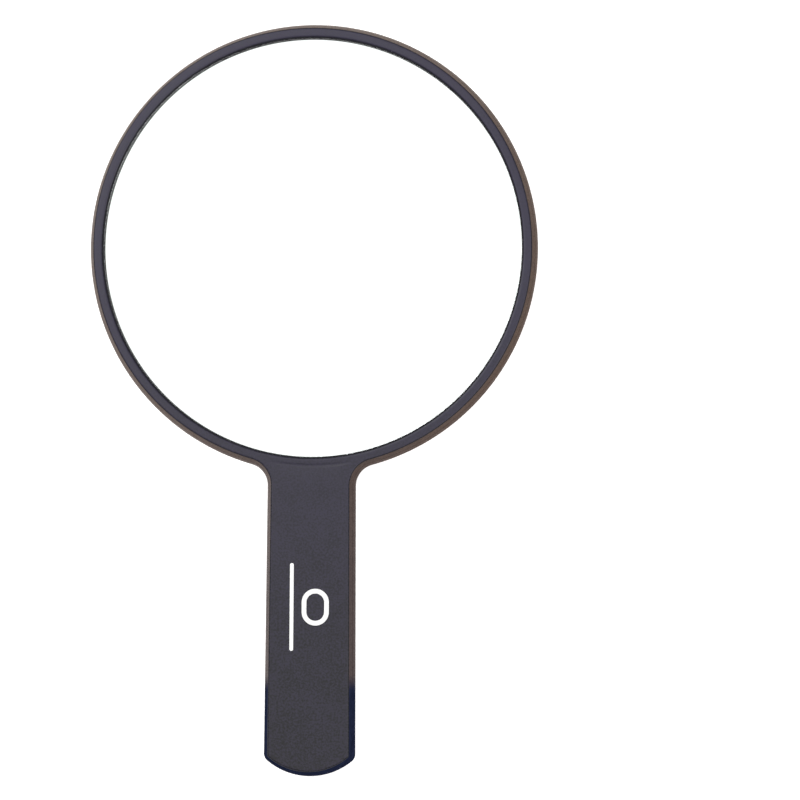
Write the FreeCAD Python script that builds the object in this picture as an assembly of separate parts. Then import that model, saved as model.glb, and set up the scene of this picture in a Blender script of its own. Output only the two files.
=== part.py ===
import FreeCAD, Part
import math
import os

# Hand mirror with a round head and a flat handle, in millimetres.
# It lies on its back: +Z is the mirror's normal and +Y runs from the handle to the head.
# The origin is the centre of the head, on the back plane.

V = FreeCAD.Vector

# Mirror plate
GLASS_RADIUS = 90.0
GLASS_THICKNESS = 3.0
GLASS_SEAM = 0.4            # ground edge of the glass
COAT_THICKNESS = 0.1        # each of the two layers behind the glass
GLASS_CLEARANCE = 0.4       # gap all round the glass in its pocket

# Front frame
RING_WALL = 2.6             # from the glass pocket to the edge of the front face
LIP_COVER = 1.5             # how far the lip reaches over the glass
LIP_THICKNESS = 1.8
LIP_ROUND = 1.6
FACE_PLATE = 2.0            # thickness of the handle's face
FACE_ROUND = 1.0
FRONT_DEPTH = 4.6           # from the front face to the parting line
CREASE_INSET = 0.7          # from the face's edge to the crease where the ring meets the handle
CREASE_RADIUS = 3.0
CREASE_DEPTH = 0.18

# Back cover
FLOOR = 2.0
BACK_ROUND = 1.2
SEAT_HEIGHT = 2.0           # raised seats that carry the foam pads
SEAT_MARGIN = 1.0           # seat beyond the edge of its pad
HEAD_RIB_HEIGHT = 1.3

# Side wall
SIDE_DRAFT = 14.0           # degrees by which the side leans out towards the back
PARTING_CHAMFER = 0.3

# Handle
HANDLE_LENGTH = 128.2       # from the head's edge to the tip, on the front face
NECK_WIDTH = 33.1
TIP_WIDTH = 34.5
NECK_FILLET = 11.4
TIP_ARC = 26.0
TIP_CORNER = 1.8
LEAST_CORNER = 0.8          # no corner inside the wall is tighter than this

# Tongue and groove between the two shells
SKIN = 1.2                  # wall outside the groove
INNER_SKIN = 0.8            # wall inside the groove
TONGUE_WIDTH = 0.9
TONGUE_HEIGHT = 1.2
TONGUE_CLEARANCE = 0.1

# Posts of the back cover in sockets of the front frame
POST_RADIUS = 2.0
POST_REACH = 1.8            # above the parting line
POST_CLEARANCE = 0.1
POST_NECK_SETBACK = 24.0    # from the head's edge to the first post
POST_TIP_SETBACK = 19.0     # from the tip to the last post
POST_COUNT = 3
SOCKET_WALL = 1.5
SOCKET_GAP = 0.2            # between a socket's mouth and the parting line
CAVITY_WEB = 2.0            # wall between the glass pocket and the handle's cavity

# Ribs
RIB_THICKNESS = 1.4
HANDLE_RIB_SPACING = 17.0
HANDLE_RIB_HEIGHT = 2.4
HANDLE_RIB_SETBACK = 10.0   # from the cavity's ends

# Foam pads
PAD_RADIUS = 13.0
PAD_THICKNESS = 1.0
PAD_INSET = 34.0            # from the edge of the glass to the centres of the outer pads
OUTER_PADS = 6

# Printed mark: a plain bar and a plain oval ring
INK = 0.05
MARK_SETBACK = 69.3         # from the tip to the middle of the mark
BAR_LENGTH = 37.0
BAR_WIDTH = 1.6
BAR_OFFSET = -7.4
OVAL_LENGTH = 15.5
OVAL_WIDTH = 11.5
OVAL_LINE = 2.0
OVAL_OFFSET = 2.6

# Sizes that follow from those above
POCKET_RADIUS = GLASS_RADIUS + GLASS_CLEARANCE
HEAD_RADIUS = POCKET_RADIUS + RING_WALL
SEAT_TOP = FLOOR + SEAT_HEIGHT
PAINT_BOTTOM = SEAT_TOP + PAD_THICKNESS
SILVER_BOTTOM = PAINT_BOTTOM + COAT_THICKNESS
GLASS_BOTTOM = SILVER_BOTTOM + COAT_THICKNESS
GLASS_TOP = GLASS_BOTTOM + GLASS_THICKNESS
DEPTH = GLASS_TOP + LIP_THICKNESS
PARTING = DEPTH - FRONT_DEPTH
WALL = SKIN + TONGUE_WIDTH + 2 * TONGUE_CLEARANCE + INNER_SKIN
TIP_Y = -(HEAD_RADIUS + HANDLE_LENGTH)
TIP_CENTRE = V(0, TIP_Y + TIP_ARC, 0)
TAPER = (TIP_WIDTH - NECK_WIDTH) / (2 * HANDLE_LENGTH)


def lean(z):
    """How far the side wall stands outside the front face's outline at height z."""
    return (DEPTH - z) * math.tan(math.radians(SIDE_DRAFT))


def mirrored(point):
    return V(-point.x, point.y, point.z)


def arc(centre, start, end):
    """The shorter arc about centre from start to end."""
    middle = (start - centre) + (end - centre)
    middle.normalize()
    middle.multiply((start - centre).Length)
    return Part.Arc(start, centre + middle, end).toShape()


def outline(offset, z):
    """The front face's outline moved outward by offset, as a wire at height z.

    Every arc keeps its centre, so that outlines at two heights are parallel curves.
    """
    head = HEAD_RADIUS + offset
    side = V(1, TAPER, 0)
    side.normalize()
    down = V(side.y, -side.x, 0)
    side_line = side.dot(V(NECK_WIDTH / 2, -HEAD_RADIUS, 0))

    across = side_line + NECK_FILLET
    reach = HEAD_RADIUS + NECK_FILLET
    fillet_centre = side * across + down * math.sqrt(reach**2 - across**2)
    on_head = fillet_centre * (head / reach)
    on_side_top = fillet_centre - side * (NECK_FILLET - offset)

    corner = max(TIP_CORNER + offset, LEAST_CORNER)
    inset = TIP_ARC + offset - corner
    across = side_line + offset - corner - side.dot(TIP_CENTRE)
    corner_centre = TIP_CENTRE + side * across + down * math.sqrt(inset**2 - across**2)
    on_side_bottom = corner_centre + side * corner
    on_tip = TIP_CENTRE + (corner_centre - TIP_CENTRE) * ((TIP_ARC + offset) / inset)

    def line(start, end):
        return Part.LineSegment(start, end).toShape()

    edges = [
        Part.Arc(on_head, V(0, head, 0), mirrored(on_head)).toShape(),
        arc(mirrored(fillet_centre), mirrored(on_head), mirrored(on_side_top)),
        line(mirrored(on_side_top), mirrored(on_side_bottom)),
        arc(mirrored(corner_centre), mirrored(on_side_bottom), mirrored(on_tip)),
        arc(TIP_CENTRE, mirrored(on_tip), on_tip),
        arc(corner_centre, on_tip, on_side_bottom),
        line(on_side_bottom, on_side_top),
        arc(fillet_centre, on_side_top, on_head),
    ]
    wire = Part.Wire(edges)
    wire.translate(V(0, 0, z))
    return wire


def flared(bottom, top):
    """The solid inside the leaning side wall between two heights."""
    wires = [outline(lean(z), z) for z in (bottom, top)]
    return Part.makeLoft(wires, True, True)


def prism(offset, bottom, top):
    """The outline with straight sides between two heights."""
    return Part.Face(outline(offset, bottom)).extrude(V(0, 0, top - bottom))


def disc(radius, bottom, top, x=0.0, y=0.0):
    return Part.makeCylinder(radius, top - bottom, V(x, y, bottom))


def block(x_size, y_size, bottom, top, x=0.0, y=0.0):
    corner = V(x - x_size / 2, y - y_size / 2, bottom)
    return Part.makeBox(x_size, y_size, top - bottom, corner)


def rim_edges(shape, z):
    """The edges of shape that lie flat at height z."""
    flat = 1e-4
    found = []
    for edge in shape.Edges:
        box = edge.BoundBox
        if abs(box.ZMin - z) < flat and abs(box.ZMax - z) < flat:
            found.append(edge)
    return found


def handle_cavity(bottom, top):
    """The hollow of the handle, outside the web that closes the glass pocket."""
    inside = prism(lean(PARTING) - WALL, bottom, top)
    return inside.cut(disc(POCKET_RADIUS + CAVITY_WEB, bottom, top))


def tongue_loop(outer, inner, height):
    """A band that follows the whole outline just above the parting line."""
    top = PARTING + height
    return prism(outer, PARTING, top).cut(prism(inner, PARTING, top))


def post_places():
    first = -(HEAD_RADIUS + POST_NECK_SETBACK)
    last = TIP_Y + POST_TIP_SETBACK
    step = (last - first) / (POST_COUNT - 1)
    return [first + step * i for i in range(POST_COUNT)]


def pad_places():
    """The centre of each foam pad: one in the middle and the others on a circle."""
    circle = GLASS_RADIUS - PAD_INSET
    places = [V(0, 0, 0)]
    for i in range(OUTER_PADS):
        angle = math.pi / 2 + 2 * math.pi * i / OUTER_PADS
        places.append(V(circle * math.cos(angle), circle * math.sin(angle), 0))
    return places


def crease():
    """A ring-shaped cutter that marks where the ring meets the handle's face."""
    path_radius = HEAD_RADIUS - CREASE_INSET
    centre = V(0, 0, DEPTH + CREASE_RADIUS - CREASE_DEPTH)
    ring = Part.makeTorus(path_radius, CREASE_RADIUS, centre)
    width = NECK_WIDTH + NECK_FILLET
    below = block(width, width, DEPTH - FACE_PLATE, DEPTH + CREASE_RADIUS, y=-path_radius)
    return ring.common(below)


def front_frame():
    shell = flared(PARTING, DEPTH)
    shell = shell.makeFillet(FACE_ROUND, rim_edges(shell, DEPTH))
    shell = shell.makeChamfer(PARTING_CHAMFER, rim_edges(shell, PARTING))

    shell = shell.cut(disc(POCKET_RADIUS, PARTING, GLASS_TOP))
    opening = disc(GLASS_RADIUS - LIP_COVER, GLASS_TOP, DEPTH)
    shell = shell.cut(opening)
    lip = [
        edge for edge in rim_edges(shell, DEPTH)
        if abs(edge.BoundBox.YMax - (GLASS_RADIUS - LIP_COVER)) < LIP_ROUND
    ]
    shell = shell.makeFillet(LIP_ROUND, lip)

    ceiling = DEPTH - FACE_PLATE
    shell = shell.cut(handle_cavity(PARTING, ceiling))
    groove = tongue_loop(
        lean(PARTING) - SKIN,
        lean(PARTING) - SKIN - TONGUE_WIDTH - 2 * TONGUE_CLEARANCE,
        TONGUE_HEIGHT + TONGUE_CLEARANCE,
    )
    shell = shell.cut(groove)
    shell = shell.cut(crease())

    mouth = PARTING + SOCKET_GAP
    socket_radius = POST_RADIUS + POST_CLEARANCE
    socket_top = PARTING + POST_REACH + POST_CLEARANCE
    cavity_width = NECK_WIDTH + 2 * (lean(PARTING) - WALL)
    web_reach = cavity_width + 2 * INNER_SKIN
    web_bottom = PARTING + TONGUE_HEIGHT + 2 * TONGUE_CLEARANCE
    for y in post_places():
        boss = disc(socket_radius + SOCKET_WALL, mouth, ceiling, y=y)
        web = block(web_reach, RIB_THICKNESS, web_bottom, ceiling, y=y)
        shell = shell.fuse([boss, web])
        shell = shell.cut(disc(socket_radius, mouth, socket_top, y=y))
    return shell.removeSplitter()


def back_cover():
    shell = flared(0, PARTING)
    shell = shell.makeFillet(BACK_ROUND, rim_edges(shell, 0))
    shell = shell.makeChamfer(PARTING_CHAMFER, rim_edges(shell, PARTING))
    shell = shell.cut(disc(POCKET_RADIUS, FLOOR, PARTING))
    shell = shell.cut(handle_cavity(FLOOR, PARTING))

    tongue = tongue_loop(
        lean(PARTING) - SKIN - TONGUE_CLEARANCE,
        lean(PARTING) - SKIN - TONGUE_CLEARANCE - TONGUE_WIDTH,
        TONGUE_HEIGHT,
    )
    added = [tongue]
    for place in pad_places():
        seat = disc(PAD_RADIUS + SEAT_MARGIN, FLOOR, SEAT_TOP, place.x, place.y)
        added.append(seat)
    added += head_ribs()
    for y in post_places():
        added.append(disc(POST_RADIUS, FLOOR, PARTING + POST_REACH, y=y))
    added += handle_ribs()
    return shell.fuse(added).removeSplitter()


def head_ribs():
    """Spokes under the glass, from the middle seat out to the rim."""
    ribs = []
    top = FLOOR + HEAD_RIB_HEIGHT
    for i in range(OUTER_PADS):
        rib = block(RIB_THICKNESS, POCKET_RADIUS, FLOOR, top, y=POCKET_RADIUS / 2)
        rib.rotate(V(0, 0, 0), V(0, 0, 1), 360.0 * i / OUTER_PADS)
        ribs.append(rib)
    circle = GLASS_RADIUS - PAD_INSET
    outer = disc(circle + RIB_THICKNESS / 2, FLOOR, top)
    ribs.append(outer.cut(disc(circle - RIB_THICKNESS / 2, FLOOR, top)))
    return ribs


def handle_ribs():
    """Two long ribs beside the posts."""
    start = -(POCKET_RADIUS + CAVITY_WEB + HANDLE_RIB_SETBACK)
    end = TIP_Y + WALL + HANDLE_RIB_SETBACK
    middle = (start + end) / 2
    top = FLOOR + HANDLE_RIB_HEIGHT
    return [
        block(RIB_THICKNESS, start - end, FLOOR, top, x=side * HANDLE_RIB_SPACING / 2, y=middle)
        for side in (-1, 1)
    ]


def mirror_glass():
    plate = disc(GLASS_RADIUS, GLASS_BOTTOM, GLASS_TOP)
    rims = rim_edges(plate, GLASS_BOTTOM) + rim_edges(plate, GLASS_TOP)
    return plate.makeChamfer(GLASS_SEAM, rims)


def silver_coat():
    return disc(GLASS_RADIUS - GLASS_SEAM, SILVER_BOTTOM, GLASS_BOTTOM)


def backing_paint():
    return disc(GLASS_RADIUS - GLASS_SEAM, PAINT_BOTTOM, SILVER_BOTTOM)


def foam_pad(place):
    return disc(PAD_RADIUS, SEAT_TOP, PAINT_BOTTOM, place.x, place.y)


def oval(width, length, x, y):
    """A slot shape with round ends, one layer of ink thick, on the handle's face."""
    radius = width / 2
    top = DEPTH + INK
    straight = length - width
    middle = block(width, straight, DEPTH, top, x, y)
    ends = [disc(radius, DEPTH, top, x, y + side * straight / 2) for side in (-1, 1)]
    return middle.fuse(ends).removeSplitter()


def printed_bar():
    return oval(BAR_WIDTH, BAR_LENGTH, BAR_OFFSET, TIP_Y + MARK_SETBACK)


def printed_oval():
    y = TIP_Y + MARK_SETBACK
    outer = oval(OVAL_WIDTH, OVAL_LENGTH, OVAL_OFFSET, y)
    inner = oval(OVAL_WIDTH - 2 * OVAL_LINE, OVAL_LENGTH - 2 * OVAL_LINE, OVAL_OFFSET, y)
    return outer.cut(inner)


def build():
    nodes = {
        "front_frame": front_frame(),
        "back_cover": back_cover(),
        "mirror_glass": mirror_glass(),
        "silver_coat": silver_coat(),
        "backing_paint": backing_paint(),
        "printed_bar": printed_bar(),
        "printed_oval": printed_oval(),
    }
    for number, place in enumerate(pad_places(), start=1):
        nodes[f"foam_pad_{number}"] = foam_pad(place)
    return nodes


os.makedirs("parts", exist_ok=True)
for name, shape in build().items():
    shape.exportStep(f"parts/{name}.step")
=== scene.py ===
import math

import bmesh
import bpy
from bpy.props import FloatProperty, FloatVectorProperty, IntProperty, PointerProperty
from bpy.types import Operator, Panel, PropertyGroup
from mathutils import Matrix, Vector


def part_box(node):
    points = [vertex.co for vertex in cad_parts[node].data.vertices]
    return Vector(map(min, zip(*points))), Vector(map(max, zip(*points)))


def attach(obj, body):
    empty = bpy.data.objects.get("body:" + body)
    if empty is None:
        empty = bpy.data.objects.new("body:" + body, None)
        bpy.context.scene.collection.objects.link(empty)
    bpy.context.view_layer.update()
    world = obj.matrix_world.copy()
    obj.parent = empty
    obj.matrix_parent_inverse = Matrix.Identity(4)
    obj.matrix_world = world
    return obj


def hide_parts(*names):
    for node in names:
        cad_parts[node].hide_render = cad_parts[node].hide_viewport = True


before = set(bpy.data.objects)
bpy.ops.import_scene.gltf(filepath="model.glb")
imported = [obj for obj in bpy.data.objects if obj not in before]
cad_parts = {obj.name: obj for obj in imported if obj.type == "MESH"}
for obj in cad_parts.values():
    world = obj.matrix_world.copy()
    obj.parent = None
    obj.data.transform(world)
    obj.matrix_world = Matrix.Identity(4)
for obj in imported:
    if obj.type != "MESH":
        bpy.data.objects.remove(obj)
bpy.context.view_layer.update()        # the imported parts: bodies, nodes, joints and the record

bl_info = {
    "name": "Hand Mirror",
    "version": (1, 0, 0),
    "blender": (4, 5, 0),
    "location": "3D View > Sidebar > Hand Mirror",
    "description": "A round hand mirror with a flat handle, lying on a pale studio floor",
    "category": "Add Mesh",
}

MM = 0.001

FRONT_LOW, FRONT_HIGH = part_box("front_frame")
BACK_LOW, BACK_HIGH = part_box("back_cover")
GLASS_LOW, GLASS_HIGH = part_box("mirror_glass")
SILVER_LOW, SILVER_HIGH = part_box("silver_coat")
PAINT_LOW, PAINT_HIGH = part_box("backing_paint")
BAR_LOW, BAR_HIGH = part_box("printed_bar")
OVAL_LOW, OVAL_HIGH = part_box("printed_oval")
PAD_NODES = sorted(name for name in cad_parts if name.startswith("foam_pad_"))

# How finely the curves are divided
HEAD_STEPS = 120         # half of the head's arc
FILLET_STEPS = 16
CORNER_STEPS = 8
TIP_STEPS = 18           # half of the tip's arc
ROUND_STEPS = 7          # across a rounded edge
CIRCLE_STEPS = 240
POST_STEPS = 48
MARK_STEPS = 96          # round the ends of a printed mark
SEAM_STEPS = 3           # across the glass's ground edge
SOFT_STEPS = 2           # across the soft edge of a coat or of the ink
FOAM_STEPS = 4           # across the foam's bulge
CREASE_STEPS = 60, 12    # along the crease and across it
SHARP_ANGLE = math.radians(32)

# Small distances that only keep the meshes clean
SAME_PLACE = 0.001 * MM  # closer points count as one
FLAT_MARGIN = 0.05 * MM  # from the end of a rounded edge to the flat face inside it
CAP_BORDER = 0.02 * MM   # border round a level face
FLOOR_DROP = 0.05 * MM   # from the mirror's back down to the studio floor

# How level a face's normal has to be
CAP_RISE = 0.9999        # above this the face is level
WALL_RISE = 0.6          # below this an outer face belongs to the side wall
BORDER_RISE = 0.5        # below this a face of the ink is its border

# The studio sky from the horizon up: (height, brightness)
SKY_STOPS = (0.0, 1.0), (0.07, 0.95), (0.22, 0.42), (0.72, 0.34), (0.93, 1.0)

# The Mix node's colour sockets share their names with its other kinds, so they go by number
MIX_FACTOR, MIX_FIRST, MIX_SECOND, MIX_RESULT = 0, 6, 7, 2


# Sizes and colours ---------------------------------------------------------------------

class OutlineSizes(PropertyGroup):
    """The outline of the front face and the lean of the side wall."""

    side_draft: FloatProperty(
        name="Side draft", description="How far the side wall leans out towards the back",
        default=math.radians(14.0), subtype="ANGLE", unit="ROTATION",
    )
    back_round: FloatProperty(
        name="Back round", description="Radius between the side wall and the flat back",
        default=1.2 * MM, unit="LENGTH",
    )
    neck_width: FloatProperty(
        name="Neck width", description="Width of the handle where it leaves the head",
        default=33.1 * MM, unit="LENGTH",
    )
    tip_width: FloatProperty(
        name="Tip width", description="Width of the handle at its end",
        default=34.5 * MM, unit="LENGTH",
    )
    neck_fillet: FloatProperty(
        name="Neck fillet", description="Radius between the head and the handle's side",
        default=11.4 * MM, unit="LENGTH",
    )
    tip_arc: FloatProperty(
        name="Tip arc", description="Radius of the handle's end",
        default=26.0 * MM, unit="LENGTH",
    )
    tip_corner: FloatProperty(
        name="Tip corner", description="Radius between the handle's side and its end",
        default=1.8 * MM, unit="LENGTH",
    )
    least_corner: FloatProperty(
        name="Least corner", description="Tightest corner of the groove, tongue and hollow",
        default=0.8 * MM, unit="LENGTH",
    )


class ShellSizes(PropertyGroup):
    """The walls, edges and joints of the two shells."""

    face_round: FloatProperty(
        name="Face round", description="Radius between the front face and the side wall",
        default=1.0 * MM, unit="LENGTH",
    )
    lip_cover: FloatProperty(
        name="Lip cover", description="How far the lip reaches over the glass",
        default=1.5 * MM, unit="LENGTH",
    )
    lip_round: FloatProperty(
        name="Lip round", description="Radius between the front face and the lip's inner wall",
        default=1.6 * MM, unit="LENGTH",
    )
    glass_gap: FloatProperty(
        name="Glass gap", description="Gap all round the glass in its pocket",
        default=0.4 * MM, unit="LENGTH",
    )
    face_plate: FloatProperty(
        name="Face plate", description="Thickness of the handle's face",
        default=2.0 * MM, unit="LENGTH",
    )
    floor: FloatProperty(
        name="Floor", description="Thickness of the back cover's floor",
        default=2.0 * MM, unit="LENGTH",
    )
    parting_bevel: FloatProperty(
        name="Parting bevel", description="Small bevel on each shell at the parting line",
        default=0.3 * MM, unit="LENGTH",
    )
    skin: FloatProperty(
        name="Skin", description="Wall outside the groove",
        default=1.2 * MM, unit="LENGTH",
    )
    inner_skin: FloatProperty(
        name="Inner skin", description="Wall inside the groove",
        default=0.8 * MM, unit="LENGTH",
    )
    tongue_width: FloatProperty(
        name="Tongue width", description="Width of the back cover's tongue",
        default=0.9 * MM, unit="LENGTH",
    )
    tongue_height: FloatProperty(
        name="Tongue height", description="Height of the tongue above the parting line",
        default=1.2 * MM, unit="LENGTH",
    )
    play: FloatProperty(
        name="Play", description="Clearance round the tongue and round each post",
        default=0.1 * MM, unit="LENGTH",
    )
    cavity_web: FloatProperty(
        name="Cavity web", description="Wall between the glass pocket and the hollow handle",
        default=2.0 * MM, unit="LENGTH",
    )
    crease_inset: FloatProperty(
        name="Crease inset", description="From the head's edge to the crease across the neck",
        default=0.7 * MM, unit="LENGTH",
    )
    crease_width: FloatProperty(
        name="Crease width", description="Width of the crease across the neck",
        default=2.0 * MM, unit="LENGTH",
    )
    crease_depth: FloatProperty(
        name="Crease depth", description="Depth of the crease across the neck",
        default=0.18 * MM, unit="LENGTH",
    )
    crease_reach: FloatProperty(
        name="Crease reach", description="Half the angle that the crease covers",
        default=math.radians(11.0), subtype="ANGLE", unit="ROTATION",
    )


class FixingSizes(PropertyGroup):
    """The posts and sockets in the handle and the seats under the foam pads."""

    post_radius: FloatProperty(
        name="Post radius", description="Radius of the back cover's posts",
        default=2.0 * MM, unit="LENGTH",
    )
    post_reach: FloatProperty(
        name="Post reach", description="Height of the posts above the parting line",
        default=1.8 * MM, unit="LENGTH",
    )
    post_count: IntProperty(
        name="Posts", description="Number of posts along the handle", default=3, min=2,
    )
    neck_setback: FloatProperty(
        name="Neck setback", description="From the head's edge to the first post",
        default=24.0 * MM, unit="LENGTH",
    )
    tip_setback: FloatProperty(
        name="Tip setback", description="From the handle's end to the last post",
        default=19.0 * MM, unit="LENGTH",
    )
    socket_wall: FloatProperty(
        name="Socket wall", description="Wall round each post's socket",
        default=1.5 * MM, unit="LENGTH",
    )
    socket_gap: FloatProperty(
        name="Socket gap", description="Between a socket's mouth and the parting line",
        default=0.2 * MM, unit="LENGTH",
    )
    seat_margin: FloatProperty(
        name="Seat margin", description="Seat beyond the edge of its foam pad",
        default=1.0 * MM, unit="LENGTH",
    )


class PlateSizes(PropertyGroup):
    """The mirror plate, the print and the foam."""

    seam: FloatProperty(
        name="Ground seam", description="Ground edge of the glass",
        default=0.4 * MM, unit="LENGTH",
    )
    coat_gap: FloatProperty(
        name="Coat gap", description="Gap that keeps two coats from sharing a face",
        default=0.01 * MM, unit="LENGTH",
    )
    coat_round: FloatProperty(
        name="Coat round", description="Soft edge of the silvering and of the paint",
        default=0.03 * MM, unit="LENGTH",
    )
    oval_line: FloatProperty(
        name="Oval line", description="Width of the printed oval's line",
        default=2.0 * MM, unit="LENGTH",
    )
    ink_round: FloatProperty(
        name="Ink round", description="Soft edge of the printed ink",
        default=0.03 * MM, unit="LENGTH",
    )
    pad_bulge: FloatProperty(
        name="Pad bulge", description="How far the foam bulges between its two faces",
        default=0.35 * MM, unit="LENGTH",
    )


class FinishColours(PropertyGroup):
    """The base colours of the finishes."""

    charcoal: FloatVectorProperty(
        name="Charcoal", description="Satin plastic of the front frame",
        default=(0.0080, 0.0066, 0.0145), subtype="COLOR", min=0.0, max=1.0,
    )
    # Painted reflection: the side walls' brown stands in for the warm floor that they reflect.
    wall: FloatVectorProperty(
        name="Wall", description="Smooth plastic of the side walls",
        default=(0.082, 0.054, 0.042), subtype="COLOR", min=0.0, max=1.0,
    )
    # Painted reflection: this blue-black stands in for the shadowed floor that the walls reflect
    # near the handle's end.
    shadow_reflection_blue: FloatVectorProperty(
        name="Midnight", description="Blue-black that the side walls turn to at the tip",
        default=(0.0110, 0.0145, 0.0340), subtype="COLOR", min=0.0, max=1.0,
    )
    glass: FloatVectorProperty(
        name="Glass", description="Clear float glass",
        default=(0.985, 1.0, 0.992), subtype="COLOR", min=0.0, max=1.0,
    )
    silver: FloatVectorProperty(
        name="Silver", description="Silvering behind the glass",
        default=(0.965, 0.968, 0.970), subtype="COLOR", min=0.0, max=1.0,
    )
    paint: FloatVectorProperty(
        name="Backing paint", description="Paint that protects the silvering",
        default=(0.20, 0.21, 0.22), subtype="COLOR", min=0.0, max=1.0,
    )
    ink: FloatVectorProperty(
        name="Ink", description="Ink of the printed marks",
        default=(0.80, 0.80, 0.79), subtype="COLOR", min=0.0, max=1.0,
    )
    foam: FloatVectorProperty(
        name="Foam", description="Foam of the mounting pads",
        default=(0.72, 0.70, 0.64), subtype="COLOR", min=0.0, max=1.0,
    )


class StageSettings(PropertyGroup):
    """The floor, the lights and the camera."""

    floor_colour: FloatVectorProperty(
        name="Floor colour", description="Pale studio floor",
        default=(0.97, 0.945, 0.93), subtype="COLOR", min=0.0, max=1.0,
    )
    floor_half: FloatProperty(
        name="Floor half side", description="Half the side of the floor",
        default=40.0, unit="LENGTH",
    )
    sky: FloatProperty(
        name="Sky", description="Brightness of the white studio round the mirror", default=1.2,
    )
    key_power: FloatProperty(
        name="Key power", description="Power of the soft light over the head, on the left",
        default=20.0, unit="POWER",
    )
    key_place: FloatVectorProperty(
        name="Key place", description="Where the light over the head hangs",
        default=(-0.8, 0.6, 1.6), subtype="TRANSLATION", unit="LENGTH",
    )
    fill_power: FloatProperty(
        name="Fill power", description="Power of the soft light over the handle, on the right",
        default=11.0, unit="POWER",
    )
    fill_place: FloatVectorProperty(
        name="Fill place", description="Where the light over the handle hangs",
        default=(0.9, -0.6, 1.6), subtype="TRANSLATION", unit="LENGTH",
    )
    light_side: FloatProperty(
        name="Light side", description="Side of each square soft light",
        default=1.2, unit="LENGTH",
    )
    aim: FloatVectorProperty(
        name="Aim", description="The point on the front face's level that the camera looks at",
        default=(0.0377, -0.0644, FRONT_HIGH.z), subtype="TRANSLATION", unit="LENGTH",
    )
    distance: FloatProperty(
        name="Camera distance", description="From the camera to the point it looks at",
        default=2.0, unit="LENGTH",
    )
    yaw: FloatProperty(
        name="Yaw", description="Tilt of the view towards the mirror's right side",
        default=math.radians(3.6), subtype="ANGLE", unit="ROTATION",
    )
    pitch: FloatProperty(
        name="Pitch", description="Tilt of the view towards the handle",
        default=math.radians(2.0), subtype="ANGLE", unit="ROTATION",
    )
    roll: FloatProperty(
        name="Roll", description="Turn of the picture about the view",
        default=math.radians(0.44), subtype="ANGLE", unit="ROTATION",
    )
    lens: FloatProperty(
        name="Lens", description="Focal length on a 36 mm sensor",
        default=213.6, unit="CAMERA",
    )


class HandMirrorSettings(PropertyGroup):
    """All the settings of the hand mirror."""

    outline: PointerProperty(type=OutlineSizes)
    shell: PointerProperty(type=ShellSizes)
    fixing: PointerProperty(type=FixingSizes)
    plate: PointerProperty(type=PlateSizes)
    colours: PointerProperty(type=FinishColours)
    stage: PointerProperty(type=StageSettings)


def settings():
    """The hand mirror's settings in the current scene."""
    return bpy.context.scene.hand_mirror


# Outlines and walls -----------------------------------------------------------------------

def level(point, z):
    """A point moved to height z."""
    return Vector((point.x, point.y, z))


def arc_to(bm, pen, centre, target, steps):
    """Draws the shorter arc about centre from the vertex pen, and returns its last vertex."""
    start = (pen.co - centre).xy
    angle = -start.angle_signed((target - centre).xy)
    swept = bmesh.ops.spin(
        bm, geom=[pen], cent=centre, axis=(0, 0, 1), angle=angle, steps=steps,
        use_merge=False, use_duplicate=False,
    )
    return next(item for item in swept["geom_last"] if isinstance(item, bmesh.types.BMVert))


def line_to(bm, pen, target):
    """Draws a straight edge from the vertex pen, and returns the vertex at its end."""
    end = bmesh.ops.extrude_vert_indiv(bm, verts=[pen])["verts"][0]
    end.co = target
    return end


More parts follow.
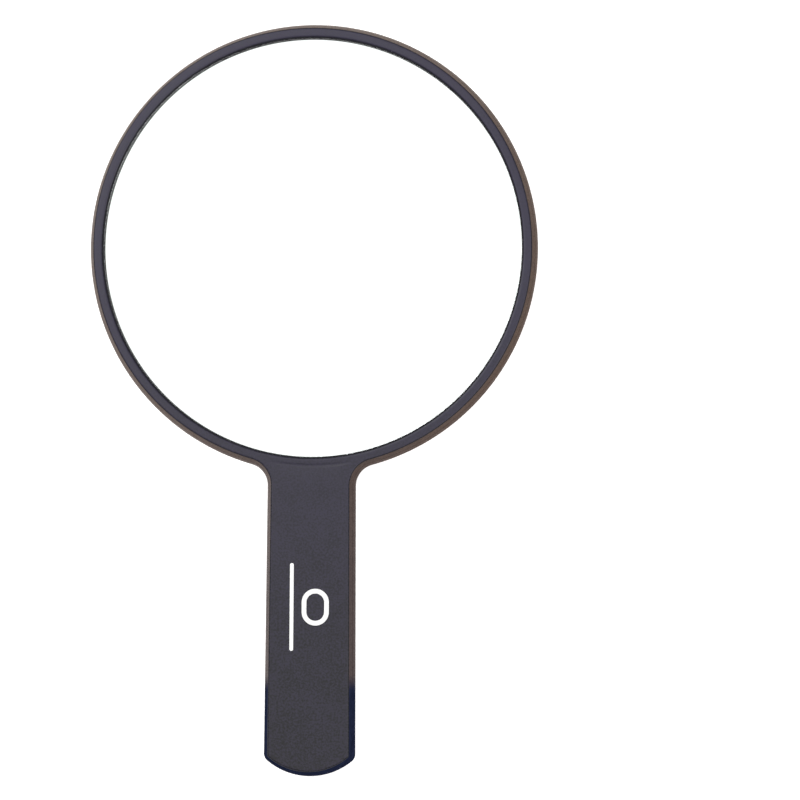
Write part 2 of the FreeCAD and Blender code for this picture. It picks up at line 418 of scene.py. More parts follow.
class Outline:
    """The outline of the front face.

    Every arc keeps its centre when the outline moves in or out, so that the outlines of one
    piece are parallel curves with the same number of edges.
    """

    def __init__(self, sizes, shell):
        self.sizes = sizes
        self.top = FRONT_HIGH.z
        self.parting = FRONT_LOW.z
        self.tangent = math.tan(sizes.side_draft)
        flare = self.widest_flare()
        self.head_radius = BACK_HIGH.x - flare
        self.tip_y = BACK_LOW.y + flare
        handle_length = -self.tip_y - self.head_radius
        taper = (sizes.tip_width - sizes.neck_width) / (2 * handle_length)
        self.side = Vector((1, taper, 0)).normalized()
        self.down = Vector((self.side.y, -self.side.x, 0))
        self.side_line = self.side.dot(Vector((sizes.neck_width / 2, -self.head_radius, 0)))
        self.tip_centre = Vector((0, self.tip_y + sizes.tip_arc, 0))
        across = self.side_line + sizes.neck_fillet
        self.reach = self.head_radius + sizes.neck_fillet
        self.fillet_centre = self.side * across + self.down * math.sqrt(self.reach**2 - across**2)
        self.groove_out = self.lean(self.parting) - shell.skin
        self.groove_in = self.groove_out - shell.tongue_width - 2 * shell.play
        self.hollow = self.groove_in - shell.inner_skin
        self.pocket = GLASS_HIGH.x + shell.glass_gap
        self.web = self.pocket + shell.cavity_web

    def lean(self, z):
        """How far the side wall stands outside the front face's outline at height z."""
        return (self.top - z) * self.tangent

    def widest_flare(self):
        """How far the widest point of the rounded back edge stands outside the outline."""
        radius = self.sizes.back_round
        return self.lean(radius) - radius / math.cos(self.sizes.side_draft) + radius

    def mirror_half(self, bm, before):
        """Mirrors the half outline drawn since before, and returns the closed loop's edges."""
        half = [edge for edge in bm.edges if edge not in before]
        verts = list(dict.fromkeys(vert for edge in half for vert in edge.verts))
        bmesh.ops.mirror(
            bm, geom=verts + half, matrix=Matrix.Identity(4), merge_dist=SAME_PLACE, axis="X",
        )
        return [edge for edge in bm.edges if edge not in before]

    def handle_half(self, bm, pen, offset, z):
        """Draws the fillet, the side, the corner and half the tip from the vertex pen."""
        sizes = self.sizes
        side_top = self.fillet_centre - self.side * (sizes.neck_fillet - offset)
        pen = arc_to(bm, pen, self.fillet_centre, side_top, FILLET_STEPS)

        corner = max(sizes.tip_corner + offset, sizes.least_corner)
        inset = sizes.tip_arc + offset - corner
        across = self.side_line + offset - corner - self.side.dot(self.tip_centre)
        drop = self.down * math.sqrt(inset**2 - across**2)
        centre = self.tip_centre + self.side * across + drop
        pen = line_to(bm, pen, level(centre + self.side * corner, z))
        on_tip = centre + (centre - self.tip_centre) * (corner / inset)
        pen = arc_to(bm, pen, centre, on_tip, CORNER_STEPS)
        end = Vector((0, self.tip_y - offset, 0))
        arc_to(bm, pen, self.tip_centre, end, TIP_STEPS)

    def loop(self, bm, offset, z):
        """The whole outline moved outward by offset, as a loop of edges at height z."""
        before = set(bm.edges)
        head = self.head_radius + offset
        pen = bm.verts.new((0, head, z))
        on_head = self.fillet_centre * (head / self.reach)
        pen = arc_to(bm, pen, Vector((0, 0, 0)), on_head, HEAD_STEPS)
        self.handle_half(bm, pen, offset, z)
        return self.mirror_half(bm, before)

    def hollow_loop(self, bm, z):
        """The rim of the handle's hollow, closed by an arc about the head's centre."""
        before = set(bm.edges)
        fillet = self.sizes.neck_fillet - self.hollow
        cosine = (self.web**2 + self.reach**2 - fillet**2) / (2 * self.web * self.reach)
        turn = Matrix.Rotation(-math.acos(cosine), 3, "Z")
        on_web = turn @ self.fillet_centre.normalized() * self.web
        pen = bm.verts.new((0, -self.web, z))
        pen = arc_to(bm, pen, Vector((0, 0, 0)), on_web, FILLET_STEPS)
        self.handle_half(bm, pen, self.hollow, z)
        return self.mirror_half(bm, before)


def rounding(offset, z, radius, start, end):
    """Points (offset, height) along an arc, with its angles from the horizontal."""
    points = []
    for i in range(ROUND_STEPS + 1):
        angle = start + (end - start) * i / ROUND_STEPS
        points.append((offset + radius * math.cos(angle), z + radius * math.sin(angle)))
    return points


def skin(bm, outline, section):
    """A wall that follows the whole outline through a section of (offset, height) points."""
    loops = [outline.loop(bm, offset, z) for offset, z in section]
    for first, second in zip(loops, loops[1:]):
        bmesh.ops.bridge_loops(bm, edges=first + second)


def hollow_walls(bm, outline, end):
    """The walls of the handle's hollow, from the parting line to its end height."""
    mouth = outline.hollow_loop(bm, outline.parting)
    far_rim = outline.hollow_loop(bm, end)
    bmesh.ops.bridge_loops(bm, edges=mouth + far_rim)


def lathe(bm, profile, x=0.0, y=0.0, steps=CIRCLE_STEPS):
    """Turns a profile of (radius, height) points about a vertical axis."""
    verts = [bm.verts.new((x + radius, y, z)) for radius, z in profile]
    edges = [bm.edges.new(pair) for pair in zip(verts, verts[1:])]
    bmesh.ops.spin(
        bm, geom=verts + edges, cent=(x, y, 0), axis=(0, 0, 1), angle=2 * math.pi,
        steps=steps, use_merge=True, use_duplicate=False,
    )


def lies_at(edge, z, scale=1.0):
    """Whether both ends of an edge lie at height z, in a model drawn at scale."""
    return all(abs(vert.co.z - z) < SAME_PLACE * scale for vert in edge.verts)


def fill_levels(bm, *heights):
    """Closes what is open at each height with flat triangles, and keeps the holes between.

    The fill merges points closer than 0.03 of a unit, so it works in millimetres.
    """
    bmesh.ops.scale(bm, vec=(1 / MM,) * 3, verts=bm.verts)
    for z in heights:
        rims = [edge for edge in bm.edges if edge.is_boundary and lies_at(edge, z / MM, 1 / MM)]
        bmesh.ops.triangle_fill(bm, edges=rims, use_beauty=True, use_dissolve=False)
    bmesh.ops.scale(bm, vec=(MM,) * 3, verts=bm.verts)


def post_places(outline, fixing):
    """Where the posts stand along the handle."""
    first = -(outline.head_radius + fixing.neck_setback)
    last = outline.tip_y + fixing.tip_setback
    step = (last - first) / (fixing.post_count - 1)
    return [first + step * i for i in range(fixing.post_count)]


def add_crease(bm, outline, shell):
    """A shallow valley across the neck, where the ring meets the handle's face."""
    lengthwise, crosswise = CREASE_STEPS
    grid = bmesh.ops.create_grid(bm, x_segments=lengthwise, y_segments=crosswise, size=1.0)
    for vert in grid["verts"]:
        along, across = vert.co.x, vert.co.y
        angle = along * shell.crease_reach
        radius = outline.head_radius - shell.crease_inset + across * shell.crease_width / 2
        depth = shell.crease_depth * (1 - across**2) ** 2 * (1 - along**4)
        vert.co = (radius * math.sin(angle), -radius * math.cos(angle), outline.top - depth)


# Finishes --------------------------------------------------------------------------------

class Socket:
    """An output of a node, with the arithmetic that adds its Math nodes."""

    def __init__(self, nodes, output):
        self.nodes = nodes
        self.output = output

    def __add__(self, other):
        return self.nodes.maths("ADD", self, other)

    def __sub__(self, other):
        return self.nodes.maths("SUBTRACT", self, other)

    def __rsub__(self, other):
        return self.nodes.maths("SUBTRACT", other, self)

    def __mul__(self, other):
        return self.nodes.maths("MULTIPLY", self, other)

    __radd__ = __add__
    __rmul__ = __mul__

    def size(self):
        """The value without its sign."""
        return self.nodes.maths("ABSOLUTE", self)

    def ramp(self, low, high):
        """From 0 to 1 in a smooth step between low and high."""
        return self.nodes.add(
            "ShaderNodeMapRange", {"interpolation_type": "SMOOTHSTEP"},
            {"Value": self, "From Min": low, "From Max": high},
        )


class Nodes:
    """The nodes of a material or of the sky, added one by one."""

    def __init__(self, owner):
        owner.use_nodes = True
        self.tree = owner.node_tree
        self.tree.nodes.clear()

    def add(self, kind, options, inputs, output=0):
        """Adds a node with its options and inputs, and returns one of its outputs, if any."""
        node = self.tree.nodes.new(kind)
        for name, value in options.items():
            if name == "stops":
                self.set_stops(node.color_ramp.elements, value)
            else:
                setattr(node, name, value)
        for name, value in inputs.items():
            if isinstance(value, Socket):
                self.tree.links.new(value.output, node.inputs[name])
            else:
                node.inputs[name].default_value = value
        return Socket(self, node.outputs[output]) if node.outputs else None

    def set_stops(self, elements, stops):
        """Gives a colour ramp its grey stops."""
        while len(elements) < len(stops):
            elements.new(0.5)
        for element, (position, value) in zip(elements, stops):
            element.position = position
            element.color = (value, value, value, 1.0)

    def maths(self, operation, *values):
        """Adds a Math node on values or sockets."""
        return self.add("ShaderNodeMath", {"operation": operation}, dict(enumerate(values)))

    def axis(self, vector, name):
        """One of a vector's X, Y and Z."""
        return self.add("ShaderNodeSeparateXYZ", {}, {"Vector": vector}, name)


class Finish(Nodes):
    """A material with the patterns that its shader reads."""

    def __init__(self, name):
        self.material = bpy.data.materials.new(name)
        super().__init__(self.material)
        self.place = self.add("ShaderNodeTexCoord", {}, {}, "Object")
        self.facing = self.add("ShaderNodeTexCoord", {}, {}, "Normal")

    def grain(self, size, detail=2.0, stretch=(1.0, 1.0, 1.0), shift=0.0):
        """Noise from 0 to 1 whose lumps are about size metres across."""
        moved = self.add(
            "ShaderNodeMapping", {},
            {"Vector": self.place, "Location": (shift, shift, shift), "Scale": stretch},
        )
        return self.add(
            "ShaderNodeTexNoise", {},
            {"Vector": moved, "Scale": 1 / size, "Detail": detail},
        )

    def blend(self, factor, first, second):
        """A colour between two colours."""
        colours = {
            MIX_FIRST: (*first, 1.0) if isinstance(first, tuple) else first,
            MIX_SECOND: (*second, 1.0) if isinstance(second, tuple) else second,
        }
        return self.add(
            "ShaderNodeMix", {"data_type": "RGBA"}, {MIX_FACTOR: factor, **colours}, MIX_RESULT,
        )

    def bump(self, height, distance, strength):
        """A bump of a pattern that is distance metres deep."""
        return self.add(
            "ShaderNodeBump", {},
            {"Height": height, "Distance": distance, "Strength": strength},
        )

    def principled(self, **inputs):
        """A Principled shader, whose inputs are named with underscores for spaces."""
        named = {name.replace("_", " "): value for name, value in inputs.items()}
        return self.add("ShaderNodeBsdfPrincipled", {}, named)

    def end(self, shader):
        """Ends the finish in a shader, and returns the material."""
        self.add("ShaderNodeOutputMaterial", {}, {"Surface": shader})
        return self.material

    def shade(self, **inputs):
        """Ends the finish in one Principled shader, and returns the material."""
        return self.end(self.principled(**inputs))


def scaled(colour, factor):
    """A colour made lighter or darker."""
    return tuple(min(channel * factor, 1.0) for channel in colour)


def satin_plastic(colours):
    """Satin charcoal plastic, painted paler towards the head as painted light, and smoother along
    its rounded edges, which are painted darker as painted shade.
    """
    finish = Finish("charcoal_satin_plastic")
    fine = finish.grain(0.9 * MM, detail=3.0)
    blotch = finish.grain(6 * MM, detail=2.0, shift=0.3)
    cloud = finish.grain(60 * MM, detail=1.0, shift=0.7)
    rub = finish.grain(2.2 * MM, detail=3.0, shift=1.1)
    upright = finish.axis(finish.facing, "Z")
    charcoal = tuple(colours.charcoal)

    mottle = fine * 0.7 + blotch * 0.2 + cloud * 0.1
    face = finish.blend(mottle.ramp(0.36, 0.64), scaled(charcoal, 0.25), scaled(charcoal, 1.8))
    # Painted light: the face is painted paler towards the head, as if more light fell there.
    brightest_painted_light_y = 20 * MM
    painted_light_towards_head = finish.axis(finish.place, "Y").ramp(BACK_LOW.y, brightest_painted_light_y)
    face = finish.blend(painted_light_towards_head * 0.6, face, scaled(charcoal, 3.4))
    # The rounded edges are smoother, like rubbed plastic, and painted darker: painted shade for
    # the dark surroundings that they reflect.
    rubbed_edge_and_painted_shade = (1 - upright.ramp(0.80, 0.99)) * (0.75 + rub * 0.3)
    colour = finish.blend(rubbed_edge_and_painted_shade, face, scaled(charcoal, 0.35))
    rough = 0.42 + (fine - 0.5) * 0.50 + (blotch - 0.5) * 0.12 - rubbed_edge_and_painted_shade * 0.26
    return finish.shade(
        Base_Color=colour, Roughness=rough, Normal=finish.bump(fine, 0.035 * MM, 0.8),
        IOR=1.5, Specular_IOR_Level=0.34,
    )


def side_wall_plastic(name, colours):
    """Smooth plastic of the side walls, whose brown is a painted reflection of the warm floor,
    and which turns to a painted blue-black reflection of the shadowed floor, without gloss, at
    the handle's end.
    """
    finish = Finish(name)
    peel = finish.grain(3.5 * MM, detail=1.5)
    fine = finish.grain(0.8 * MM, detail=3.0, shift=0.4)
    dust = finish.grain(0.35 * MM, detail=2.0, shift=0.9)
    specks = dust.ramp(0.68, 0.80) * 0.15
    wall, shadow_reflection_blue = tuple(colours.wall), tuple(colours.shadow_reflection_blue)
    mottle = (fine * 0.6 + peel * 0.4).ramp(0.35, 0.65)
    rough = 0.28 + (fine - 0.5) * 0.12 + specks
    bumps = finish.bump(peel, 0.01 * MM, 0.5)

    along = finish.axis(finish.place, "Y")
    handle_y, head_y = -150 * MM, -50 * MM
    on_head = along.ramp(handle_y, head_y)
    # Painted reflection: along the handle, some of the shadowed floor's blue-black is painted
    # into the walls.
    painted_shadow_share = 0.35
    # Painted reflection: the brown of the warm floor, with mottle and dust specks.
    painted_reflection_and_dust = finish.blend(mottle, scaled(wall, 0.85), scaled(wall, 1.15))
    painted_reflection_and_dust = finish.blend(specks, painted_reflection_and_dust, scaled(wall, 4.0))
    painted_reflection_and_dust = finish.blend(painted_shadow_share - on_head * painted_shadow_share, painted_reflection_and_dust, shadow_reflection_blue)
    smooth = finish.principled(
        Base_Color=painted_reflection_and_dust, Roughness=rough, Normal=bumps, IOR=1.5, Specular_IOR_Level=0.005,
    )
    # Painted reflection: past the tip line the walls are all blue-black, for the shadowed floor
    # that they reflect.
    painted_shadow_colour = finish.blend(mottle, scaled(shadow_reflection_blue, 0.75), scaled(shadow_reflection_blue, 1.25))
    painted_shadow_shader = finish.principled(
        Base_Color=painted_shadow_colour, Roughness=rough, Normal=bumps, IOR=1.5, Specular_IOR_Level=0.0,
    )
    tip_y, blur = BACK_LOW.y + 40 * MM, 4 * MM
    painted_shadow_at_tip = along.ramp(tip_y - blur, tip_y + blur)
    return finish.end(finish.add("ShaderNodeMixShader", {}, {0: painted_shadow_at_tip, 1: painted_shadow_shader, 2: smooth}))


def float_glass(colours):
    """Clear glass, with a ground and greener edge and the faintest smears."""
    finish = Finish("clear_float_glass")
    flat = finish.axis(finish.facing, "Z").size().ramp(0.90, 0.99)
    smear = finish.grain(14 * MM, detail=3.0, stretch=(1.0, 0.35, 1.0))
    grind = finish.grain(0.2 * MM, detail=2.0, shift=0.2)
    clear = tuple(colours.glass)
    colour = finish.blend(flat, (0.62, 0.80, 0.72), clear)
    rough = (1 - flat) * (0.35 + (grind - 0.5) * 0.2) + flat * smear.ramp(0.60, 0.80) * 0.01
    return finish.shade(
        Base_Color=colour, Roughness=rough, Transmission_Weight=1.0, IOR=1.52,
    )


def silvering(colours):
    """Bright metal behind the glass."""
    finish = Finish("mirror_silver")
    haze = finish.grain(40 * MM, detail=2.0)
    silver = tuple(colours.silver)
    colour = finish.blend(haze.ramp(0.35, 0.75), silver, scaled(silver, 0.995))
    smear = haze * 0.01
    return finish.shade(Base_Color=colour, Roughness=smear, Metallic=1.0)


def backing_paint_finish(colours):
    """Sprayed paint with a pebbled surface and thin patches."""
    finish = Finish("grey_backing_paint")
    spray = finish.grain(0.8 * MM, detail=3.0)
    patch = finish.grain(22 * MM, detail=2.0, shift=0.5)
    paint = tuple(colours.paint)
    mottle = (spray * 0.5 + patch * 0.5).ramp(0.35, 0.65)
    colour = finish.blend(mottle, scaled(paint, 0.8), scaled(paint, 1.2))
    rough = 0.55 + (spray - 0.5) * 0.2
    bumps = finish.bump(spray, 0.03 * MM, 0.5)
    return finish.shade(Base_Color=colour, Roughness=rough, Normal=bumps)


def print_ink(colours):
    """Screen-printed ink: a slight grain, pinholes and thin spots."""
    finish = Finish("white_print_ink")
    mesh = finish.grain(0.30 * MM, detail=2.0)
    thin = finish.grain(1.8 * MM, detail=2.0, shift=0.6)
    ink = tuple(colours.ink)
    colour = finish.blend(thin.ramp(0.50, 0.80), ink, scaled(ink, 0.86))
    colour = finish.blend(mesh.ramp(0.70, 0.78) * 0.5, colour, scaled(ink, 0.45))
    rough = 0.5 + (mesh - 0.5) * 0.2
    bumps = finish.bump(mesh, 0.01 * MM, 0.5)
    return finish.shade(Base_Color=colour, Roughness=rough, Normal=bumps)


def cell_foam(colours):
    """Open foam whose cell pits are painted darker, as painted shade."""
    finish = Finish("pale_cell_foam")
    cell_size = 0.45 * MM
    cells = finish.add(
        "ShaderNodeTexVoronoi", {"feature": "SMOOTH_F1"},
        {"Vector": finish.place, "Scale": 1 / cell_size}, "Distance",
    )
    age = finish.grain(5 * MM, detail=2.0)
    foam = tuple(colours.foam)
    colour = finish.blend(age.ramp(0.35, 0.70), foam, scaled(foam, 0.82))
    # Painted shade: the cell pits are darkened.
    colour = finish.blend(cells.ramp(0.45, 0.10) * 0.6, colour, scaled(foam, 0.42))
    rough = 0.88 + (age - 0.5) * 0.1
    bumps = finish.bump(cells, 0.12 * MM, 0.8)
    return finish.shade(Base_Color=colour, Roughness=rough, Normal=bumps)


def studio_floor(colour):
    """A plain pale floor with the slightest unevenness."""
    finish = Finish("pale_studio_floor")
    cloud = finish.grain(0.6, detail=1.0)
    shade = finish.blend(cloud.ramp(0.3, 0.7), tuple(colour), scaled(colour, 0.985))
    return finish.shade(
        Base_Color=shade, Roughness=0.7 + (cloud - 0.5) * 0.1,
        Emission_Color=(1.0, 1.0, 1.0, 1.0), Emission_Strength=0.5,
    )


# Pieces ----------------------------------------------------------------------------------

def new_piece(bm, name, node, slot, *materials):
    """Makes the model a piece that stands for a node of the frame."""
    if any(edge.is_boundary or edge.is_wire for edge in bm.edges):
        raise RuntimeError(f"{name} has an open seam")
    bmesh.ops.recalc_face_normals(bm, faces=bm.faces)
    mesh = bpy.data.meshes.new(name)
    bm.to_mesh(mesh)
    bm.free()
    mesh.shade_smooth()
    mesh.set_sharp_from_angle(angle=SHARP_ANGLE)
    for material in materials:
        mesh.materials.append(material)
    piece = bpy.data.objects.new(name, mesh)
    bpy.context.scene.collection.objects.link(piece)
    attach(piece, "root")
    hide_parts(node)
    return piece


def flatten_caps(bm):
    """Gives level faces a narrow border, so that only the border is shaded round."""
    caps = [face for face in bm.faces if abs(face.normal.z) > CAP_RISE]
    bmesh.ops.inset_region(bm, faces=caps, thickness=CAP_BORDER, use_even_offset=True)


def soften(bm, edges, edge_round, steps):
    """Bevels the rims of level faces, and keeps the faces themselves flat."""
    bmesh.ops.bevel(
        bm, geom=edges, offset=edge_round, offset_type="OFFSET", segments=steps,
        profile=0.5, affect="EDGES", material=-1,
    )
    flatten_caps(bm)


def disc(bm, radius, bottom, top, edge_round, steps, x=0.0, y=0.0):
    """A round plate with bevelled rims."""
    middle = Matrix.Translation((x, y, (bottom + top) / 2))
    bmesh.ops.create_cone(
        bm, cap_ends=True, cap_tris=False, segments=CIRCLE_STEPS,
        radius1=radius, radius2=radius, depth=top - bottom, matrix=middle,
    )
    rims = [edge for edge in bm.edges if lies_at(edge, bottom) or lies_at(edge, top)]
    soften(bm, rims, edge_round, steps)


def slot_face(bm, width, length, x, y, z):
    """A flat face with straight sides and round ends."""
    half_step = Matrix.Rotation(math.pi / MARK_STEPS, 3, "Z")
    face = bmesh.ops.create_circle(
        bm, cap_ends=True, cap_tris=False, segments=MARK_STEPS, radius=width / 2,
    )
    bmesh.ops.rotate(bm, verts=face["verts"], cent=(0, 0, 0), matrix=half_step)
    for vert in face["verts"]:
        stretch = math.copysign((length - width) / 2, vert.co.y)
        vert.co += Vector((x, y + stretch, z))


def raise_ink(bm, thickness, edge_round):
    """Gives flat printed faces their thickness and a soft upper edge."""
    flat = list(bm.faces)
    raised = bmesh.ops.extrude_face_region(bm, geom=flat, use_keep_orig=True)["geom"]
    top = [item for item in raised if isinstance(item, bmesh.types.BMVert)]
    bmesh.ops.translate(bm, vec=(0, 0, thickness), verts=top)
    rims = [
        edge for edge in bm.edges
        if lies_at(edge, top[0].co.z)
        and any(abs(face.normal.z) < BORDER_RISE for face in edge.link_faces)
    ]
    soften(bm, rims, edge_round, SOFT_STEPS)


def give_side_wall(piece, web):
    """Gives the steep faces outside the web's radius the piece's second material."""
    for face in piece.data.polygons:
        outside = face.center.xy.length > web
        face.material_index = int(outside and 0 < face.normal.z < WALL_RISE)


class HANDMIRROR_OT_front_frame(Operator):
    """Builds the front frame: the ring, its lip and the handle's face"""

    bl_idname = "hand_mirror.front_frame"
    bl_label = "Front Frame"

    def execute(self, context):
        shell, fixing = settings().shell, settings().fixing
        outline = Outline(settings().outline, shell)
        draft = outline.sizes.side_draft
        top, parting = outline.top, outline.parting
        bm = bmesh.new()

        # Front face's edge, side wall and parting bevel, then the groove for the tongue
        edge = -shell.face_round * math.tan((math.pi / 2 - draft) / 2)
        bevel_top = parting + shell.parting_bevel * math.cos(draft)
        groove_top = parting + shell.tongue_height + shell.play
        section = [(edge - FLAT_MARGIN, top)]
        section += rounding(edge, top - shell.face_round, shell.face_round, math.pi / 2, draft)
        section += [
            (outline.lean(bevel_top), bevel_top),
            (outline.lean(parting) - shell.parting_bevel, parting),
        ]
        skin(bm, outline, section)
        for offset in (outline.groove_out, outline.groove_in):
            skin(bm, outline, [(offset, parting), (offset, groove_top)])

        # Glass pocket and lip
        pocket, glass_top = outline.pocket, GLASS_HIGH.z
        opening = GLASS_HIGH.x - shell.lip_cover
        crest = opening + shell.lip_round
        lip = [(pocket, parting), (pocket, glass_top), (opening, glass_top)]
        lip += rounding(crest, top - shell.lip_round, shell.lip_round, math.pi, math.pi / 2)
        lip.append((crest + FLAT_MARGIN, top))
        lathe(bm, lip)
        add_crease(bm, outline, shell)

        # Hollow of the handle with the sockets
        ceiling = top - shell.face_plate
        hollow_walls(bm, outline, ceiling)
        socket = fixing.post_radius + shell.play
        boss = socket + fixing.socket_wall
        boss_end = parting + fixing.socket_gap
        socket_top = parting + fixing.post_reach + shell.play
        profile = [(boss, ceiling), (boss, boss_end), (socket, boss_end), (socket, socket_top)]
        for y in post_places(outline, fixing):
            lathe(bm, profile, y=y, steps=POST_STEPS)

        fill_levels(bm, top, parting, groove_top, ceiling, socket_top)
        colours = settings().colours
        # The frame's side wall gets the second material, whose colours are painted reflections of
        # the floor.
        materials = [satin_plastic(colours), side_wall_plastic("front_wall_plastic", colours)]
        piece = new_piece(bm, "front_frame_shell", "front_frame", "front_shell", *materials)
        give_side_wall(piece, outline.web)
        return {"FINISHED"}


class HANDMIRROR_OT_back_cover(Operator):
    """Builds the back cover: its side wall, tongue, pad seats and posts"""

    bl_idname = "hand_mirror.back_cover"
    bl_label = "Back Cover"

    def execute(self, context):
        shell, fixing = settings().shell, settings().fixing
        outline = Outline(settings().outline, shell)
        draft = outline.sizes.side_draft
        parting = outline.parting
        radius = outline.sizes.back_round
        bm = bmesh.new()

        # Flat back's edge, side wall and parting bevel, then the tongue
        edge = outline.lean(radius) - radius / math.cos(draft)
        bevel_bottom = parting - shell.parting_bevel * math.cos(draft)
        tongue_top = parting + shell.tongue_height
        tongue_out = outline.groove_out - shell.play
        section = [(edge - FLAT_MARGIN, BACK_LOW.z)]
        section += rounding(edge, radius, radius, -math.pi / 2, draft)
        section += [
            (outline.lean(bevel_bottom), bevel_bottom),
            (outline.lean(parting) - shell.parting_bevel, parting),
        ]
        skin(bm, outline, section)
        for offset in (tongue_out, tongue_out - shell.tongue_width):
            skin(bm, outline, [(offset, parting), (offset, tongue_top)])

        # Hollow under the glass with the seats of the foam pads
        lathe(bm, [(outline.pocket, parting), (outline.pocket, shell.floor)])
        seat_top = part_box(PAD_NODES[0])[0].z
        for node in PAD_NODES:
            low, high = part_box(node)
            middle = (low + high) / 2
            seat = (high.x - low.x) / 2 + fixing.seat_margin
            lathe(bm, [(seat, shell.floor), (seat, seat_top)], middle.x, middle.y, POST_STEPS)

        # Hollow of the handle with the posts
        hollow_walls(bm, outline, shell.floor)
        post_top = parting + fixing.post_reach
        profile = [(fixing.post_radius, shell.floor), (fixing.post_radius, post_top)]
        for y in post_places(outline, fixing):
            lathe(bm, profile, y=y, steps=POST_STEPS)

        fill_levels(bm, BACK_LOW.z, parting, tongue_top, shell.floor, seat_top, post_top)
        material = side_wall_plastic("back_cover_plastic", settings().colours)
        new_piece(bm, "back_cover_shell", "back_cover", "back_shell", material)
        return {"FINISHED"}


class HANDMIRROR_OT_mirror_plate(Operator):
    """Builds the mirror plate: the glass, the silvering and the backing paint"""

    bl_idname = "hand_mirror.mirror_plate"
    bl_label = "Mirror Plate"

    def execute(self, context):
        plate = settings().plate
        colours = settings().colours

        bm = bmesh.new()
        disc(bm, GLASS_HIGH.x, GLASS_LOW.z, GLASS_HIGH.z, plate.seam, SEAM_STEPS)
        new_piece(bm, "mirror_plate", "mirror_glass", "glass", float_glass(colours))

        bm = bmesh.new()
        silver_top = SILVER_HIGH.z - plate.coat_gap
        disc(bm, SILVER_HIGH.x, SILVER_LOW.z, silver_top, plate.coat_round, SOFT_STEPS)
        new_piece(bm, "silver_layer", "silver_coat", "silver", silvering(colours))

        bm = bmesh.new()
        paint_top = PAINT_HIGH.z - plate.coat_gap
        disc(bm, PAINT_HIGH.x, PAINT_LOW.z, paint_top, plate.coat_round, SOFT_STEPS)
        material = backing_paint_finish(colours)
        new_piece(bm, "paint_layer", "backing_paint", "paint", material)
        return {"FINISHED"}


class HANDMIRROR_OT_print(Operator):
    """Builds the printed marks: a plain bar and a plain oval ring"""

    bl_idname = "hand_mirror.print"
    bl_label = "Printed Marks"

    def execute(self, context):
        plate = settings().plate
        material = print_ink(settings().colours)
        marks = [
            ("print_bar", "printed_bar", BAR_LOW, BAR_HIGH),
            ("print_oval", "printed_oval", OVAL_LOW, OVAL_HIGH),
        ]
        for name, node, low, high in marks:
            middle = (low + high) / 2
            size = high - low
            bm = bmesh.new()
            slot_face(bm, size.x, size.y, middle.x, middle.y, low.z)
            if node == "printed_oval":
                bmesh.ops.inset_region(
                    bm, faces=list(bm.faces), thickness=plate.oval_line, use_even_offset=True,
                    use_boundary=True,
                )
                hole = max(bm.faces, key=lambda face: len(face.verts))
                bmesh.ops.delete(bm, geom=[hole], context="FACES_ONLY")
            raise_ink(bm, size.z, plate.ink_round)
            new_piece(bm, name, node, "ink", material)
        return {"FINISHED"}


class HANDMIRROR_OT_foam_pads(Operator):
    """Builds the foam pads that hold the mirror plate"""

    bl_idname = "hand_mirror.foam_pads"
    bl_label = "Foam Pads"

    def execute(self, context):
        plate = settings().plate
        material = cell_foam(settings().colours)
        for node in PAD_NODES:
            low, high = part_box(node)
            middle = (low + high) / 2
            radius = (high.x - low.x) / 2
            bm = bmesh.new()
            disc(bm, radius, low.z, high.z, plate.pad_bulge, FOAM_STEPS, middle.x, middle.y)
            number = node.rsplit("_", 1)[1]
            pad = new_piece(bm, f"foam_disc_{number}", node, "foam", material)
        return {"FINISHED"}


def add_floor(scene, stage):
    """A wide floor just under the mirror's back."""
    bm = bmesh.new()
    bmesh.ops.create_grid(bm, x_segments=4, y_segments=4, size=stage.floor_half)
    bmesh.ops.translate(bm, vec=(0, 0, BACK_LOW.z - FLOOR_DROP), verts=bm.verts)
    mesh = bpy.data.meshes.new("studio_floor")
    bm.to_mesh(mesh)
    bm.free()
    mesh.materials.append(studio_floor(tuple(stage.floor_colour)))
    floor = bpy.data.objects.new("studio_floor", mesh)
    scene.collection.objects.link(floor)


def add_sky(scene, brightness):
    """A sky that is white overhead and at the horizon, and greyer between."""
    scene.world = bpy.data.worlds.new("studio_sky")
    nodes = Nodes(scene.world)
    direction = nodes.add("ShaderNodeTexCoord", {}, {}, "Generated")
    height = nodes.axis(direction, "Z")
    colour = nodes.add("ShaderNodeValToRGB", {"stops": SKY_STOPS}, {"Fac": height}, "Color")
    light = nodes.add("ShaderNodeBackground", {}, {"Color": colour, "Strength": brightness})
    nodes.add("ShaderNodeOutputWorld", {}, {"Surface": light})


def add_light(scene, name, power, place, side):
    """A square soft light that faces the origin."""
    light = bpy.data.lights.new(name, "AREA")
    light.energy = power
    light.size = side
    lamp = bpy.data.objects.new(name, light)
    spot = Vector(place)
    aim = spot.to_track_quat("Z", "Y").to_matrix().to_4x4()
    lamp.matrix_world = Matrix.Translation(spot) @ aim
    scene.collection.objects.link(lamp)


def add_camera(scene, stage):
    """A long lens that looks down at the front face, a little tilted."""
    lens = bpy.data.cameras.new("camera")
    lens.lens = stage.lens
    camera = bpy.data.objects.new("camera", lens)
    turn = (
        Matrix.Rotation(stage.yaw, 4, "Y")
        @ Matrix.Rotation(stage.pitch, 4, "X")
        @ Matrix.Rotation(stage.roll, 4, "Z")
    )
    back = turn @ Vector((0, 0, stage.distance))
    camera.matrix_world = Matrix.Translation(Vector(stage.aim) + back) @ turn
    scene.collection.objects.link(camera)
    scene.camera = camera


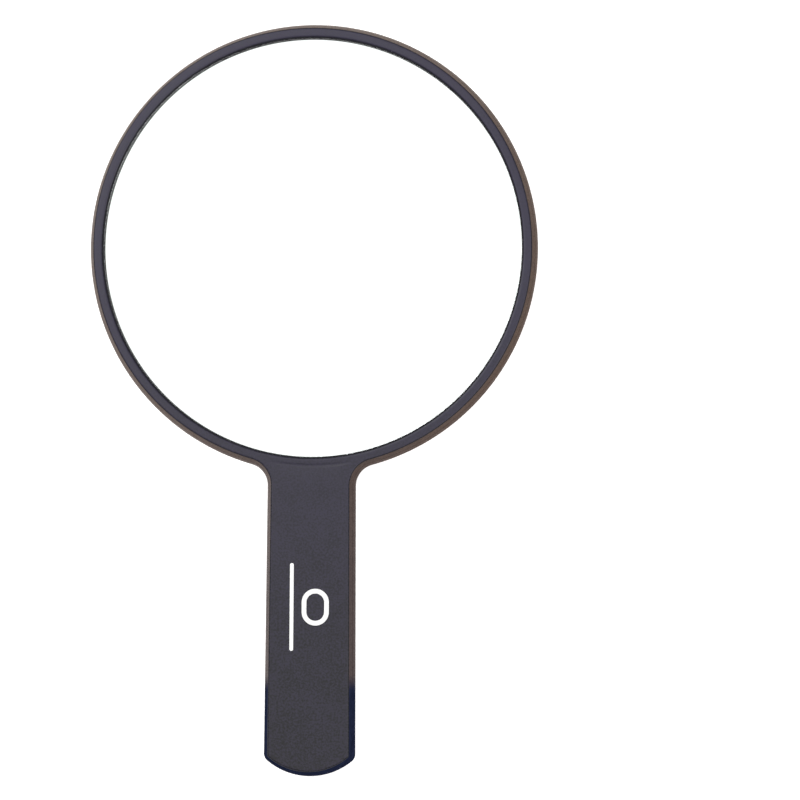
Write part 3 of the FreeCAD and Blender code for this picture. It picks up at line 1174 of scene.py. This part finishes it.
class HANDMIRROR_OT_stage(Operator):
    """Builds the floor, the lights and the camera"""

    bl_idname = "hand_mirror.stage"
    bl_label = "Stage"

    def execute(self, context):
        stage = settings().stage
        scene = context.scene
        add_floor(scene, stage)
        add_sky(scene, stage.sky)
        add_light(scene, "key_light", stage.key_power, stage.key_place, stage.light_side)
        add_light(scene, "fill_light", stage.fill_power, stage.fill_place, stage.light_side)
        add_camera(scene, stage)
        scene.view_settings.view_transform = "Standard"
        return {"FINISHED"}


class HANDMIRROR_PT_panel(Panel):
    """Lists the sizes and the pieces of the hand mirror"""

    bl_idname = "HANDMIRROR_PT_panel"
    bl_label = "Hand Mirror"
    bl_space_type = "VIEW_3D"
    bl_region_type = "UI"
    bl_category = "Hand Mirror"

    def draw(self, context):
        groups = settings()
        for name in ("outline", "shell", "fixing", "plate", "colours", "stage"):
            group = getattr(groups, name)
            box = self.layout.box()
            box.label(text=name.capitalize())
            for key in group.__annotations__:
                box.prop(group, key)
        for operator in OPERATORS:
            self.layout.operator(operator.bl_idname)


OPERATORS = (
    HANDMIRROR_OT_stage,
    HANDMIRROR_OT_front_frame,
    HANDMIRROR_OT_back_cover,
    HANDMIRROR_OT_mirror_plate,
    HANDMIRROR_OT_print,
    HANDMIRROR_OT_foam_pads,
)
CLASSES = (
    OutlineSizes,
    ShellSizes,
    FixingSizes,
    PlateSizes,
    FinishColours,
    StageSettings,
    HandMirrorSettings,
    *OPERATORS,
    HANDMIRROR_PT_panel,
)


def register():
    for cls in CLASSES:
        bpy.utils.register_class(cls)
    bpy.types.Scene.hand_mirror = PointerProperty(type=HandMirrorSettings)


def unregister():
    del bpy.types.Scene.hand_mirror
    for cls in reversed(CLASSES):
        bpy.utils.unregister_class(cls)


def main():
    register()
    bpy.ops.hand_mirror.stage()
    bpy.ops.hand_mirror.front_frame()
    bpy.ops.hand_mirror.back_cover()
    bpy.ops.hand_mirror.mirror_plate()
    bpy.ops.hand_mirror.print()
    bpy.ops.hand_mirror.foam_pads()


if __name__ == "__main__":
    main()
